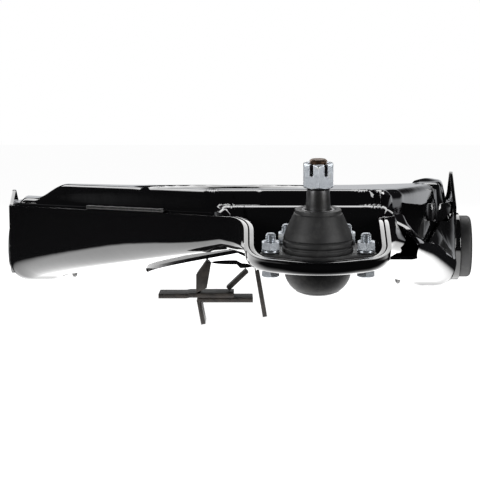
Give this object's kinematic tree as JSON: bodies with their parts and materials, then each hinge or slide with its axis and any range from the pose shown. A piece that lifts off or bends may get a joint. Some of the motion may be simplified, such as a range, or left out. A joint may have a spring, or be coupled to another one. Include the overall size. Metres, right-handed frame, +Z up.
{
  "type": "control arm",
  "caption": "Stamped steel front lower control arm with two rubber bushings, a bolted ball joint with castle nut and dust boot, and a welded shock absorber bracket.",
  "frame": {"origin": "centre of the arm's bounding box at its lowest point, where it stands on its shock bracket's ears", "axes": "+X along the bushing axis towards the thrust flange that shows at the right, +Y inboard to the chassis, +Z up along the ball stud's lean, which tips 8 degrees outboard"},
  "size_m": [0.4148, 0.4095, 0.134],
  "materials": {
    "black_paint": "gloss",
    "bracket_paint": "matte",
    "zinc_plate": "satin",
    "dark_steel": "satin",
    "rubber": "matte",
    "bearing_plastic": "matte"
  },
  "bodies": {
    "arm": {"ball_housing": "dark_steel", "ball_joint_flange": "dark_steel", "bolt_back_left": "zinc_plate", "bolt_back_right": "zinc_plate", "bolt_front_left": "zinc_plate", "bolt_front_right": "zinc_plate", "bracket_gusset": "bracket_paint", "bracket_leg": "bracket_paint", "left_bushing_rubber": "rubber", "left_bushing_shell": "dark_steel", "left_bushing_tube": "black_paint", "left_tube_weld": "black_paint", "lock_washer_back_left": "zinc_plate", "lock_washer_back_right": "zinc_plate", "lock_washer_front_left": "zinc_plate", "lock_washer_front_right": "zinc_plate", "lower_bearing": "bearing_plastic", "lower_stamping": "black_paint", "nut_back_left": "zinc_plate", "nut_back_right": "zinc_plate", "nut_front_left": "zinc_plate", "nut_front_right": "zinc_plate", "preload_washer": "dark_steel", "right_bushing_rubber": "rubber", "right_bushing_shell": "dark_steel", "right_bushing_tube": "black_paint", "right_tube_weld": "black_paint", "seam_weld_back": "black_paint", "seam_weld_front": "black_paint", "shock_clevis": "bracket_paint", "shock_ear": "bracket_paint", "shock_tab": "bracket_paint", "upper_stamping": "black_paint"},
    "left_sleeve": {"left_inner_sleeve": "dark_steel"},
    "right_sleeve": {"right_inner_sleeve": "dark_steel"},
    "ball_swing": {"upper_bearing": "bearing_plastic", "dust_boot": "rubber"},
    "stud_carrier": {"boot_collar": "dark_steel"},
    "stud": {"ball_stud": "dark_steel", "castle_nut": "zinc_plate"}
  },
  "joints": [
    {"name": "left_sleeve_twist", "type": "hinge", "parent": "arm", "child": "left_sleeve", "pos_m": [-0.1774, 0.16897, 0.049], "axis": [1, 0, 0], "range_deg": [-25, 25], "stiffness_Nm_per_rad": 20},
    {"name": "right_sleeve_twist", "type": "hinge", "parent": "arm", "child": "right_sleeve", "pos_m": [0.1695, 0.16897, 0.049], "axis": [1, 0, 0], "range_deg": [-25, 25], "stiffness_Nm_per_rad": 20},
    {"name": "swing_direction", "type": "hinge", "parent": "arm", "child": "ball_swing", "pos_m": [0.0591, -0.1602, 0.05306], "axis": [0, -0.1392, 0.9903], "continuous": true},
    {"name": "stud_tilt", "type": "hinge", "parent": "ball_swing", "child": "stud_carrier", "pos_m": [0.0591, -0.1602, 0.05306], "axis": [1, 0, 0], "range_deg": [0, 25], "deforming": ["dust_boot"]},
    {"name": "stud_spin", "type": "hinge", "parent": "stud_carrier", "child": "stud", "pos_m": [0.0591, -0.1602, 0.05306], "axis": [0, -0.1392, 0.9903], "continuous": true}
  ]
}
